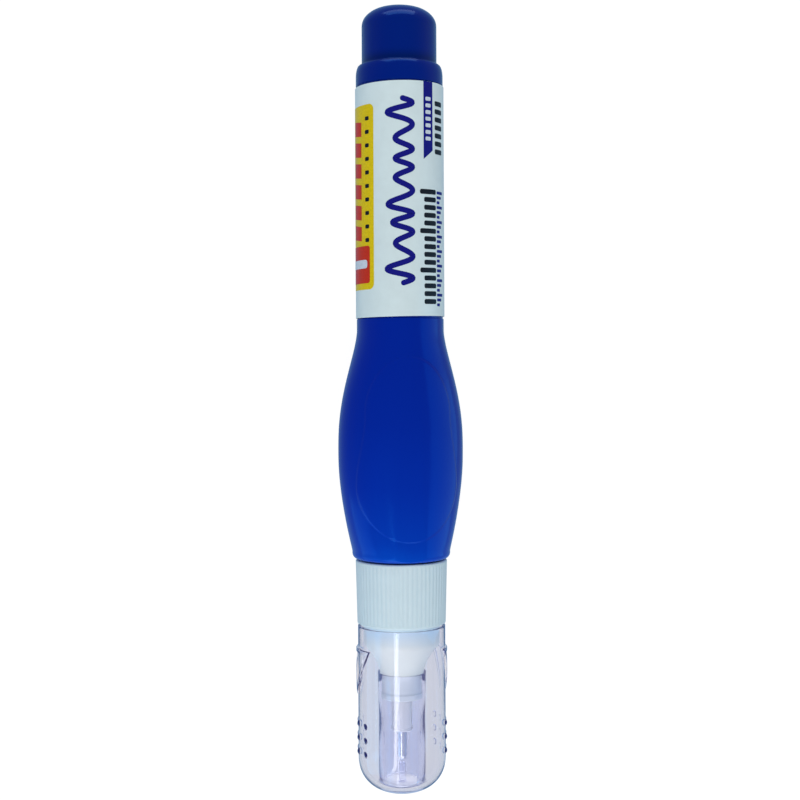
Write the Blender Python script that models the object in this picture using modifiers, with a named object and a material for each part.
"""Squeeze correction pen with a clear cap, lying on the back of its oval bulb.

World frame: +Y runs from the cap to the tail, +Z points up out of the front press pad, Z = 0 is the
surface the pen lies on, and the origin is under the middle of the pen.
Every piece hangs on one empty whose local Z is the pen's axis, so a piece is drawn upright: its local
Z is how far it lies towards the tail. Places along the pen are given as stations, the distance in
millimetres from the tail end.
"""

import math

import bmesh
import bpy
from mathutils import Matrix, Vector

MM = 0.001

# Whole pen, in millimetres
LENGTH = 139.0
AXIS_HEIGHT = 8.3
CLEARANCE = 0.3
SEGMENTS = 40
HOLDER_SEGMENTS = 32
SMALL_SEGMENTS = 24
NEEDLE_SEGMENTS = 12
SHARP_DEGREES = 32
MERGE_DISTANCE = 0.00001

# Bottle
WALL = 1.0
KNOB_RADIUS = 6.65
KNOB_FLAT_RADIUS = 2.0
KNOB_DOME_DEPTH = 3.3
KNOB_DOME_STEPS = 6
LEDGE_STATION = 10.4
LEDGE_RADIUS = 7.15
SHOULDER_END = 12.4
SHOULDER_STEPS = 5
BARREL_RADIUS = 7.72
LABEL_START = 14.3
LABEL_END = 54.95
LABEL_RECESS = 0.14
BULB_START = 57.3
BULB_FULL = 79.6
BULB_END = 96.2
BULB_HALF_WIDTH = 11.2
BULB_HALF_DEPTH = 8.42
PAD_HALF_DEPTH = AXIS_HEIGHT
BULB_STEPS = 17
BULB_INNER_STEPS = 8
BASE_RADIUS = 8.7
BASE_EDGE = 1.0
BASE_LAND = 0.4
BASE_STEPS = 4
NECK_START = BULB_END + BASE_LAND + BASE_EDGE
NECK_END = 107.0
NECK_RADIUS = 5.85
NECK_BORE_RADIUS = 4.9
THREAD_PITCH = 2.0
THREAD_HEIGHT = 0.4
THREAD_START = 98.6
THREAD_END = 105.8
THREAD_RUN_OUT = 0.8
THREAD_MARGIN = 0.3
THREAD_STEPS = 16

# Label film
LABEL_INNER_RADIUS = 7.76
LABEL_OUTER_RADIUS = 7.89

# Nozzle
COLLAR_START = 97.85
COLLAR_END = 109.15
COLLAR_TOP_RADIUS = 8.12
COLLAR_END_RADIUS = 7.84
COLLAR_EDGE = 0.35
RIB_COUNT = 60
RIB_DEPTH = 0.16
SKIRT_BORE_RADIUS = 6.6
DECK_STATION = 108.0
SEAT_RADIUS = 6.8
SEAT_END = 112.2
SEAT_OVERLAP = 0.4
NOSE_END = 122.4
NOSE_START = SEAT_END + 0.5
NOSE_RADIUS = 3.5
FLARE_REACH = 3.2
FLARE_LENGTH = 3.0
FLARE_POWER = 1.3
NOSE_STEPS = 9
FLANGE_START = 121.45
FLANGE_NECK = 121.3
FLANGE_EDGE = 0.15
NOSE_FLANGE_RADIUS = 3.7
BORE_PAST = 1.0
HOLDER_BORE_RADIUS = 2.65
HOLDER_STOP = 120.9
EXIT_BORE_RADIUS = 2.05

# Tip and valve
HOLDER_START = 111.4
HOLDER_END = 128.2
HOLDER_PLUG_RADIUS = 2.35
HOLDER_STEM_RADIUS = 1.85
HOLDER_LIP_START = 127.7
HOLDER_LIP_RADIUS = 2.0
HOLDER_LIP_EDGE = 0.1
HOLDER_LEAD_IN = 0.2
HOLDER_CHAMBER_RADIUS = 1.65
HOLDER_TIP_BORE = 1.22
CHAMBER_END = 121.9
TUBE_START = 123.2
TUBE_END = 133.2
TUBE_RADIUS = 0.92
TUBE_BORE_RADIUS = 0.5
TUBE_MOUTH_RADIUS = 0.65
TUBE_MOUTH_END = 131.6
TUBE_THROAT_START = 132.0
TUBE_SHOULDER_START = 132.7
TUBE_SHOULDER_END = 133.05
TUBE_SHOULDER_RADIUS = 0.8
TUBE_NOSE_RADIUS = 0.64
NEEDLE_START = 117.6
NEEDLE_END = 133.6
NEEDLE_RADIUS = 0.2
NEEDLE_POINT = 0.1
NEEDLE_POINT_RADIUS = 0.12
PLUNGER_START = 119.7
PLUNGER_END = 121.6
PLUNGER_RADIUS = 1.3
PLUNGER_STEP = 0.5
PLUNGER_PEG_RADIUS = 0.8
PLUNGER_TIP_RADIUS = 0.85
RETAINER_START = 111.8
RETAINER_END = 112.9
RETAINER_RADIUS = 1.35
RETAINER_HOLE_RADIUS = 0.5
SPRING_START = 113.2
SPRING_END = 119.4
SPRING_RADIUS = 1.1
SPRING_WIRE_RADIUS = 0.13
SPRING_TURNS = 7
SPRING_POINTS_PER_TURN = 10

# Neck seal
SEAL_GAP = 0.25

# Cap
CAP_RIM = 109.5
CAP_RADIUS = 7.75
CAP_BORE_RADIUS = 7.12
CAP_DOME_START = 132.4
CAP_DOME_POWER = 2.35
CAP_DOME_STEPS = 10
CAP_RIM_BEVEL = 0.1
CAP_DRAFT = 0.05
CAP_FLOOR = 137.7
SLEEVE_START = 117.9
SLEEVE_LIP_RADIUS = 4.32
SLEEVE_LEAD_RADIUS = 4.1
SLEEVE_LEAD_END = 119.2
SLEEVE_SEAL_RADIUS = 3.87
SLEEVE_STEP = 125.2
SLEEVE_RADIUS = 4.15
SLEEVE_BORE_RADIUS = 3.15
POST_START = 133.95
POST_RADIUS = 0.55
POST_ROOT_RADIUS = 0.65
HOLLOW_DEPTH = 5.85
HOLLOW_REACH = 0.64
HOLLOW_STEPS = 4
RAISED_RADIUS = 8.08
RAISED_SUNK_RADIUS = 7.45
TRIANGLE_TOP = 113.3
TRIANGLE_TIP = 121.4
TRIANGLE_HALF_WIDTH = 4.4
TRIANGLE_LINE = 0.75
TRIANGLE_STEPS = 5
DOT_FIRST = 126.6
DOT_PITCH = 2.45
DOT_COUNT = 3
DOT_SPREAD_DEGREES = 22.0
DOT_RADIUS = 0.6
DOT_RISE = 0.42

# Ball
BALL_RADIUS = 2.6
BALL_STATION = 86.0
BALL_SEGMENTS = 20
BALL_RINGS = 12


def height(station):
    """Metres along the pen's axis, towards the tail from its middle, of a station in millimetres."""
    return (LENGTH / 2 - station) * MM


def clear_scene():
    for item in list(bpy.data.objects):
        bpy.data.objects.remove(item, do_unlink=True)


def make_collection(name):
    group = bpy.data.collections.new(name)
    bpy.context.scene.collection.children.link(group)
    return group


def make_axis(group):
    """The empty that lays the pen down: its local Z is world +Y and its local -Y is world +Z."""
    axis = bpy.data.objects.new("pen_axis", None)
    axis.location = (0, 0, AXIS_HEIGHT * MM)
    axis.rotation_euler = (math.radians(-90), 0, 0)
    group.objects.link(axis)
    return axis


def make_material(name, colour, roughness, metallic=0.0, alpha=1.0):
    material = bpy.data.materials.new(name)
    material.use_nodes = True
    shader = material.node_tree.nodes["Principled BSDF"]
    shader.inputs["Base Color"].default_value = (*colour, 1)
    shader.inputs["Roughness"].default_value = roughness
    shader.inputs["Metallic"].default_value = metallic
    shader.inputs["Alpha"].default_value = alpha
    material.diffuse_color = (*colour, alpha)
    return material


def add_object(name, mesh, material, group, axis, station=None):
    """Links a mesh whose heights are measured from the pen's middle. A station moves its origin there."""
    item = bpy.data.objects.new(name, mesh)
    group.objects.link(item)
    item.parent = axis
    if station is not None:
        mesh.transform(Matrix.Translation((0, 0, -height(station))))
        item.location = (0, 0, height(station))
    if material:
        mesh.materials.append(material)
    mesh.shade_smooth()
    mesh.set_sharp_from_angle(angle=math.radians(SHARP_DEGREES))
    return item


def arc(station, radius, along, across, first, last, steps):
    """Points of an elliptic arc: outermost at 0 degrees, and at 90 as far along as it goes."""
    points = []
    for step in range(steps + 1):
        angle = math.radians(first + (last - first) * step / steps)
        points.append((station + along * math.sin(angle), radius + across * math.cos(angle)))
    return points


def turned(name, outline, closed, material, group, axis, segments=SEGMENTS, station=None):
    """A turned piece from (station, radius) points that run down its outer side from tail to cap."""
    mesh = bpy.data.meshes.new(name)
    points = [(radius * MM, 0, height(place)) for place, radius in outline]
    edges = [(i, i + 1) for i in range(len(points) - 1)]
    if closed:
        edges.append((len(points) - 1, 0))
    mesh.from_pydata(points, edges, [])
    item = add_object(name, mesh, material, group, axis, station)
    screw = item.modifiers.new("turn", "SCREW")
    screw.axis = "Z"
    screw.steps = segments
    screw.render_steps = segments
    screw.use_merge_vertices = True
    screw.merge_threshold = MERGE_DISTANCE
    screw.use_smooth_shade = True
    return item


def loft(rings):
    """A bmesh skin through rings of equally many points, with a flat face over each end."""
    skin = bmesh.new()
    loops = [[skin.verts.new(point) for point in ring] for ring in rings]
    count = len(loops[0])
    for upper, lower in zip(loops, loops[1:]):
        for i in range(count):
            after = (i + 1) % count
            skin.faces.new((upper[i], lower[i], lower[after], upper[after]))
    skin.faces.new(loops[0])
    skin.faces.new(list(reversed(loops[-1])))
    bmesh.ops.recalc_face_normals(skin, faces=skin.faces)
    return skin


def mesh_from(skin, name):
    mesh = bpy.data.meshes.new(name)
    skin.to_mesh(mesh)
    skin.free()
    return mesh


def boolean(item, cutter, operation):
    step = item.modifiers.new(operation.lower() + "_" + cutter.name, "BOOLEAN")
    step.operation = operation
    step.solver = "EXACT"
    step.object = cutter
    cutter.hide_render = True
    cutter.display_type = "WIRE"


def smoothstep(value):
    value = min(max(value, 0.0), 1.0)
    return value * value * (3 - 2 * value)


def bulb_swell(station):
    """How far the bulb has swollen, 0 to 1: a quick S-curve, then a round taper to the base."""
    if station <= BULB_FULL:
        share = (station - BULB_START) / (BULB_FULL - BULB_START)
        return 1 - (1 - max(share, 0.0) ** 1.5) ** 3
    share = (station - BULB_FULL) / (BULB_END - BULB_FULL)
    return math.cos(math.pi / 2 * min(share, 1.0))


def body_section(station, inset=0.0):
    """Half width and half depth of the barrel and bulb at a station, less the inset."""
    swell = bulb_swell(station)
    foot = BARREL_RADIUS
    if station > BULB_FULL:
        foot = BASE_RADIUS
    width = foot + (BULB_HALF_WIDTH - foot) * swell
    depth = foot + (BULB_HALF_DEPTH - foot) * swell
    return width - inset, depth - inset


def oval_ring(station, width, depth, pad):
    """One ring of the bottle, flattened where it would pass the press pads."""
    ring = []
    for i in range(SEGMENTS):
        angle = 2 * math.pi * i / SEGMENTS
        across = depth * math.sin(angle)
        across = min(max(across, -pad), pad)
        ring.append(Vector((width * math.cos(angle) * MM, across * MM, height(station))))
    return ring


def thread_ring(station):
    """A ring of the neck, raised where the helical thread passes it."""
    fade_in = smoothstep((station - THREAD_START) / THREAD_RUN_OUT)
    fade_out = smoothstep((THREAD_END - station) / THREAD_RUN_OUT)
    ring = []
    for i in range(SEGMENTS):
        angle = 2 * math.pi * i / SEGMENTS
        phase = (station / THREAD_PITCH - i / SEGMENTS) % 1.0
        ridge = max(0.0, math.cos(2 * math.pi * (phase - 0.5))) * THREAD_HEIGHT * fade_in * fade_out
        radius = (NECK_RADIUS + ridge) * MM
        ring.append(Vector((radius * math.cos(angle), radius * math.sin(angle), height(station))))
    return ring


def spaced(first, last, steps):
    return [first + (last - first) * i / steps for i in range(steps + 1)]


def round_ring(station, radius):
    return oval_ring(station, radius, radius, radius)


def make_bottle(material, group, axis):
    """Blow-moulded bottle: closed tail knob, barrel with label recess, oval bulb, threaded open neck."""
    outer = []
    reach = KNOB_RADIUS - KNOB_FLAT_RADIUS
    dome = arc(KNOB_DOME_DEPTH, KNOB_FLAT_RADIUS, -KNOB_DOME_DEPTH, reach, 90, 0, KNOB_DOME_STEPS)
    for station, radius in dome:
        outer.append(round_ring(station, radius))
    outer.append(round_ring(LEDGE_STATION, KNOB_RADIUS))
    outer.append(round_ring(LEDGE_STATION, LEDGE_RADIUS))
    rise = LEDGE_STATION - SHOULDER_END
    reach = BARREL_RADIUS - LEDGE_RADIUS
    shoulder = arc(SHOULDER_END, LEDGE_RADIUS, rise, reach, 90, 0, SHOULDER_STEPS)
    for station, radius in shoulder[1:]:
        outer.append(round_ring(station, radius))
    recess = BARREL_RADIUS - LABEL_RECESS
    outer.append(round_ring(LABEL_START - CLEARANCE, BARREL_RADIUS))
    outer.append(round_ring(LABEL_START - CLEARANCE, recess))
    outer.append(round_ring(LABEL_END + CLEARANCE, recess))
    outer.append(round_ring(LABEL_END + CLEARANCE, BARREL_RADIUS))
    for station in spaced(BULB_START, BULB_END, BULB_STEPS):
        width, depth = body_section(station)
        outer.append(oval_ring(station, width, depth, PAD_HALF_DEPTH))
    land_end = BULB_END + BASE_LAND
    base = arc(land_end, BASE_RADIUS - BASE_EDGE, BASE_EDGE, BASE_EDGE, 0, 90, BASE_STEPS)
    for station, radius in base:
        outer.append(oval_ring(station, radius, radius, PAD_HALF_DEPTH))
    outer.append(round_ring(NECK_START, NECK_RADIUS))
    for station in spaced(THREAD_START - THREAD_MARGIN, THREAD_END + THREAD_MARGIN, THREAD_STEPS):
        outer.append(thread_ring(station))
    outer.append(round_ring(NECK_END, NECK_RADIUS))

    inner = [round_ring(NECK_END, NECK_BORE_RADIUS), round_ring(NECK_START - WALL, NECK_BORE_RADIUS)]
    for station in reversed(spaced(BULB_START, BULB_END - WALL, BULB_INNER_STEPS)):
        width, depth = body_section(station, WALL)
        inner.append(oval_ring(station, width, depth, PAD_HALF_DEPTH - WALL))
    inner.append(round_ring(SHOULDER_END + WALL, BARREL_RADIUS - WALL))
    inner.append(round_ring(LEDGE_STATION + WALL, KNOB_RADIUS - WALL))
    inner.append(round_ring(KNOB_DOME_DEPTH, KNOB_RADIUS - WALL))
    inner.append(round_ring(WALL, KNOB_FLAT_RADIUS))
    mesh = mesh_from(loft(outer + inner), "bottle")
    return add_object("bottle", mesh, material, group, axis)


def make_label(material, group, axis):
    outline = [
        (LABEL_START, LABEL_INNER_RADIUS),
        (LABEL_START, LABEL_OUTER_RADIUS),
        (LABEL_END, LABEL_OUTER_RADIUS),
        (LABEL_END, LABEL_INNER_RADIUS),
    ]
    return turned("label_sleeve", outline, True, material, group, axis)


def ribbed_ring(station, radius, depth):
    """A ring of the collar: each rib is two points out and two points in."""
    ring = []
    count = RIB_COUNT * 4
    for i in range(count):
        angle = 2 * math.pi * (i + 0.5) / count
        reach = (radius if i % 4 < 2 else radius - depth) * MM
        ring.append(Vector((reach * math.cos(angle), reach * math.sin(angle), height(station))))
    return ring


def make_nozzle(material, group, cutters, axis):
    """Ribbed collar, cap seat and trumpet-shaped nose in one moulding, bored for the neck and the tip."""
    rings = [
        ribbed_ring(COLLAR_START, COLLAR_TOP_RADIUS - COLLAR_EDGE, 0.0),
        ribbed_ring(COLLAR_START + COLLAR_EDGE, COLLAR_TOP_RADIUS, RIB_DEPTH),
        ribbed_ring(COLLAR_END - COLLAR_EDGE, COLLAR_END_RADIUS, RIB_DEPTH),
        ribbed_ring(COLLAR_END, COLLAR_END_RADIUS - COLLAR_EDGE, 0.0),
    ]
    collar = add_object("nozzle", mesh_from(loft(rings), "nozzle"), material, group, axis)

    seat_start = DECK_STATION + SEAT_OVERLAP
    nose = [(seat_start, 0.0), (seat_start, SEAT_RADIUS), (SEAT_END, SEAT_RADIUS)]
    nose += trumpet()
    nose += [
        (FLANGE_START, NOSE_FLANGE_RADIUS),
        (NOSE_END - FLANGE_EDGE, NOSE_FLANGE_RADIUS),
        (NOSE_END, NOSE_FLANGE_RADIUS - FLANGE_EDGE),
        (NOSE_END, 0.0),
    ]
    nose_object = turned("nose_form", nose, False, None, cutters, axis)
    boolean(collar, nose_object, "UNION")

    bore = [
        (COLLAR_START - BORE_PAST, 0.0),
        (COLLAR_START - BORE_PAST, SKIRT_BORE_RADIUS),
        (DECK_STATION, SKIRT_BORE_RADIUS),
        (DECK_STATION, HOLDER_BORE_RADIUS),
        (HOLDER_STOP, HOLDER_BORE_RADIUS),
        (HOLDER_STOP, EXIT_BORE_RADIUS),
        (NOSE_END + BORE_PAST, EXIT_BORE_RADIUS),
        (NOSE_END + BORE_PAST, 0.0),
    ]
    bore_object = turned("nozzle_bore", bore, False, None, cutters, axis)
    boolean(collar, bore_object, "DIFFERENCE")
    return collar


def trumpet():
    """The nose's flared side: wide at the seat, then nearly straight towards the tip."""
    points = []
    for station in spaced(NOSE_START, FLANGE_NECK, NOSE_STEPS):
        along = (station - NOSE_START) / FLARE_LENGTH
        points.append((station, NOSE_RADIUS + FLARE_REACH * math.exp(-(along**FLARE_POWER))))
    return points


def make_neck_seal(material, group, axis):
    outline = [
        (NECK_END + SEAL_GAP, NECK_BORE_RADIUS),
        (NECK_END + SEAL_GAP, NECK_RADIUS + THREAD_HEIGHT),
        (DECK_STATION - SEAL_GAP, NECK_RADIUS + THREAD_HEIGHT),
        (DECK_STATION - SEAL_GAP, NECK_BORE_RADIUS),
    ]
    return turned("neck_seal", outline, True, material, group, axis)


def make_tip_holder(material, group, axis):
    outline = [
        (HOLDER_START, HOLDER_CHAMBER_RADIUS),
        (HOLDER_START, HOLDER_PLUG_RADIUS - HOLDER_LEAD_IN),
        (HOLDER_START + HOLDER_LEAD_IN, HOLDER_PLUG_RADIUS),
        (HOLDER_STOP - CLEARANCE, HOLDER_PLUG_RADIUS),
        (HOLDER_STOP - CLEARANCE, HOLDER_STEM_RADIUS),
        (HOLDER_LIP_START, HOLDER_STEM_RADIUS),
        (HOLDER_LIP_START + HOLDER_LIP_EDGE, HOLDER_LIP_RADIUS),
        (HOLDER_END - HOLDER_LIP_EDGE, HOLDER_LIP_RADIUS),
        (HOLDER_END, HOLDER_LIP_RADIUS - HOLDER_LIP_EDGE),
        (HOLDER_END, HOLDER_TIP_BORE),
        (CHAMBER_END, HOLDER_TIP_BORE),
        (CHAMBER_END, HOLDER_CHAMBER_RADIUS),
    ]
    return turned("tip_holder", outline, True, material, group, axis, segments=HOLDER_SEGMENTS)


def make_metal_tip(material, group, axis):
    outline = [
        (TUBE_START, TUBE_MOUTH_RADIUS),
        (TUBE_START, TUBE_RADIUS),
        (TUBE_SHOULDER_START, TUBE_RADIUS),
        (TUBE_SHOULDER_END, TUBE_SHOULDER_RADIUS),
        (TUBE_END, TUBE_NOSE_RADIUS),
        (TUBE_END, TUBE_BORE_RADIUS),
        (TUBE_THROAT_START, TUBE_BORE_RADIUS),
        (TUBE_MOUTH_END, TUBE_MOUTH_RADIUS),
    ]
    return turned("metal_tip", outline, True, material, group, axis, segments=SMALL_SEGMENTS)


def make_needle(material, group, axis):
    outline = [
        (NEEDLE_START, 0.0),
        (NEEDLE_START, NEEDLE_RADIUS),
        (NEEDLE_END - NEEDLE_POINT, NEEDLE_RADIUS),
        (NEEDLE_END, NEEDLE_POINT_RADIUS),
        (NEEDLE_END, 0.0),
    ]
    return turned("valve_needle", outline, False, material, group, axis, NEEDLE_SEGMENTS, NEEDLE_END)


def make_plunger(material, group, axis):
    hole = NEEDLE_RADIUS + CLEARANCE
    outline = [
        (PLUNGER_START, hole),
        (PLUNGER_START, PLUNGER_PEG_RADIUS),
        (PLUNGER_START + PLUNGER_STEP, PLUNGER_PEG_RADIUS),
        (PLUNGER_START + PLUNGER_STEP, PLUNGER_RADIUS),
        (PLUNGER_END - PLUNGER_STEP, PLUNGER_RADIUS),
        (PLUNGER_END, PLUNGER_TIP_RADIUS),
        (PLUNGER_END, hole),
    ]
    return turned("needle_plunger", outline, True, material, group, axis, SMALL_SEGMENTS, NEEDLE_END)


def make_retainer(material, group, axis):
    outline = [
        (RETAINER_START, RETAINER_HOLE_RADIUS),
        (RETAINER_START, RETAINER_RADIUS),
        (RETAINER_END, RETAINER_RADIUS),
        (RETAINER_END, RETAINER_HOLE_RADIUS),
    ]
    return turned("spring_retainer", outline, True, material, group, axis, segments=SMALL_SEGMENTS)


def make_spring(material, group, axis):
    """A closed-end compression spring, its coil points worked out turn by turn."""
    curve = bpy.data.curves.new("valve_spring", "CURVE")
    curve.dimensions = "3D"
    curve.bevel_depth = SPRING_WIRE_RADIUS * MM
    curve.bevel_resolution = 2
    curve.use_fill_caps = True
    count = SPRING_TURNS * SPRING_POINTS_PER_TURN + 1
    spline = curve.splines.new("POLY")
    spline.points.add(count - 1)
    first = SPRING_START + SPRING_WIRE_RADIUS
    last = SPRING_END - SPRING_WIRE_RADIUS
    for i, point in enumerate(spline.points):
        turn = i / SPRING_POINTS_PER_TURN
        angle = 2 * math.pi * turn
        station = first + (last - first) * turn / SPRING_TURNS
        x = SPRING_RADIUS * math.cos(angle) * MM
        y = SPRING_RADIUS * math.sin(angle) * MM
        point.co = (x, y, height(station), 1)
    item = bpy.data.objects.new("valve_spring", curve)
    curve.materials.append(material)
    item.parent = axis
    group.objects.link(item)
    return item


def dome_point(depth, radius, share):
    """A point of the cap's closed end, a little fuller than an ellipse, a share of the way to its apex."""
    angle = math.pi / 2 * share
    along = math.sin(angle) ** (2 / CAP_DOME_POWER)
    across = math.cos(angle) ** (2 / CAP_DOME_POWER)
    return CAP_DOME_START + depth * along, radius * across


def make_cap(material, group, cutters, axis):
    """Clear cap: thin side, thick domed end, inner sleeve that seals round the nose, raised triangles and dots."""
    inside = [
        (POST_START, 0.0),
        (POST_START, POST_RADIUS),
        (CAP_FLOOR, POST_ROOT_RADIUS),
        (CAP_FLOOR, SLEEVE_BORE_RADIUS),
        (SLEEVE_STEP, SLEEVE_BORE_RADIUS),
        (SLEEVE_STEP, SLEEVE_SEAL_RADIUS),
        (SLEEVE_LEAD_END, SLEEVE_SEAL_RADIUS),
        (SLEEVE_START, SLEEVE_LEAD_RADIUS),
        (SLEEVE_START, SLEEVE_LIP_RADIUS),
        (SLEEVE_STEP, SLEEVE_RADIUS),
    ]
    for step in range(HOLLOW_STEPS, -1, -1):
        inside.append(dome_point(HOLLOW_DEPTH, CAP_BORE_RADIUS, HOLLOW_REACH * step / HOLLOW_STEPS))
    inside += [
        (CAP_RIM, CAP_BORE_RADIUS + CAP_DRAFT),
        (CAP_RIM, CAP_RADIUS - CAP_RIM_BEVEL),
        (CAP_RIM + CAP_RIM_BEVEL, CAP_RADIUS),
    ]
    outside = []
    for step in range(CAP_DOME_STEPS):
        outside.append(dome_point(LENGTH - CAP_DOME_START, CAP_RADIUS, step / CAP_DOME_STEPS))
    outline = inside + outside + [(LENGTH, 0.0)]
    cap = turned("cap", outline, False, material, group, axis, station=CAP_RIM)

    marks = bmesh.new()
    for side in (-1, 1):
        add_triangle(marks, side)
        for row in range(DOT_COUNT):
            for column in range(DOT_COUNT):
                add_dot(marks, side, row, column)
    marks_object = add_object("cap_marks", mesh_from(marks, "cap_marks"), None, cutters, axis)
    boolean(cap, marks_object, "UNION")
    return cap


def on_cap(side, across, station, radius):
    """A point over the cap's side: across is measured round the side from its left or right middle."""
    angle = across / CAP_RADIUS
    reach = radius * MM * side
    return Vector((reach * math.cos(angle), reach * math.sin(angle), height(station)))


def triangle_outline(inset):
    """(across, station) points round a triangle that points at the closed end, its sides moved in."""
    depth = TRIANGLE_TIP - TRIANGLE_TOP
    slope = math.hypot(TRIANGLE_HALF_WIDTH, depth)
    half_width = TRIANGLE_HALF_WIDTH - inset * (slope + TRIANGLE_HALF_WIDTH) / depth
    tip = TRIANGLE_TIP - inset * slope / TRIANGLE_HALF_WIDTH
    top = TRIANGLE_TOP + inset
    corners = [(-half_width, top), (half_width, top), (0.0, tip)]
    points = []
    for (across, station), (next_across, next_station) in zip(corners, corners[1:] + corners[:1]):
        for step in range(TRIANGLE_STEPS):
            share = step / TRIANGLE_STEPS
            place = station + (next_station - station) * share
            points.append((across + (next_across - across) * share, place))
    return points


def add_triangle(marks, side):
    """A raised triangular frame that follows the cap's round side."""
    outer = triangle_outline(0.0)
    inner = triangle_outline(TRIANGLE_LINE)
    loops = []
    levels = (
        (outer, RAISED_SUNK_RADIUS),
        (outer, RAISED_RADIUS),
        (inner, RAISED_RADIUS),
        (inner, RAISED_SUNK_RADIUS),
    )
    for outline, radius in levels:
        loops.append([marks.verts.new(on_cap(side, *point, radius)) for point in outline])
    faces = []
    for this, following in zip(loops, loops[1:] + loops[:1]):
        for i in range(len(this)):
            after = (i + 1) % len(this)
            faces.append(marks.faces.new((this[i], this[after], following[after], following[i])))
    bmesh.ops.recalc_face_normals(marks, faces=faces)


def add_dot(marks, side, row, column):
    """One small dome on the cap's side, part sunk in the wall."""
    angle = math.radians((column - 1) * DOT_SPREAD_DEGREES)
    place = on_cap(side, angle * CAP_RADIUS, DOT_FIRST + DOT_PITCH * row, RAISED_RADIUS - DOT_RISE)
    flatten = Matrix.Diagonal((DOT_RISE / DOT_RADIUS, 1, 1, 1))
    turn = Matrix.Rotation(angle, 4, "Z")
    matrix = Matrix.Translation(place) @ turn @ flatten
    bmesh.ops.create_icosphere(marks, subdivisions=1, radius=DOT_RADIUS * MM, matrix=matrix)


def make_ball(material, group, axis):
    skin = bmesh.new()
    radius = BALL_RADIUS * MM
    bmesh.ops.create_uvsphere(skin, u_segments=BALL_SEGMENTS, v_segments=BALL_RINGS, radius=radius)
    ball = add_object("mixing_ball", mesh_from(skin, "mixing_ball"), material, group, axis)
    drop = BARREL_RADIUS - WALL - BALL_RADIUS - CLEARANCE
    ball.location = (0, drop * MM, height(BALL_STATION))
    return ball


def main():
    clear_scene()
    group = make_collection("correction_pen")
    cutters = make_collection("cutters")
    axis = make_axis(group)
    blue = make_material("bottle_blue", (0.004, 0.035, 0.42), 0.25)
    film = make_material("label_film", (0.62, 0.72, 0.78), 0.35)
    white = make_material("nozzle_white", (0.66, 0.76, 0.8), 0.4)
    frosted = make_material("holder_frosted", (0.75, 0.76, 0.82), 0.4, alpha=0.7)
    steel = make_material("steel", (0.6, 0.6, 0.62), 0.2, metallic=1.0)
    clear = make_material("cap_clear", (0.72, 0.74, 0.92), 0.05, alpha=0.35)
    rubber = make_material("seal_rubber", (0.75, 0.75, 0.72), 0.6)
    acetal = make_material("valve_acetal", (0.8, 0.8, 0.76), 0.4)

    make_bottle(blue, group, axis)
    make_label(film, group, axis)
    make_nozzle(white, group, cutters, axis)
    make_neck_seal(rubber, group, axis)
    make_tip_holder(frosted, group, axis)
    make_metal_tip(steel, group, axis)
    make_needle(steel, group, axis)
    make_plunger(acetal, group, axis)
    make_retainer(acetal, group, axis)
    make_spring(steel, group, axis)
    make_cap(clear, group, cutters, axis)
    make_ball(steel, group, axis)


main()
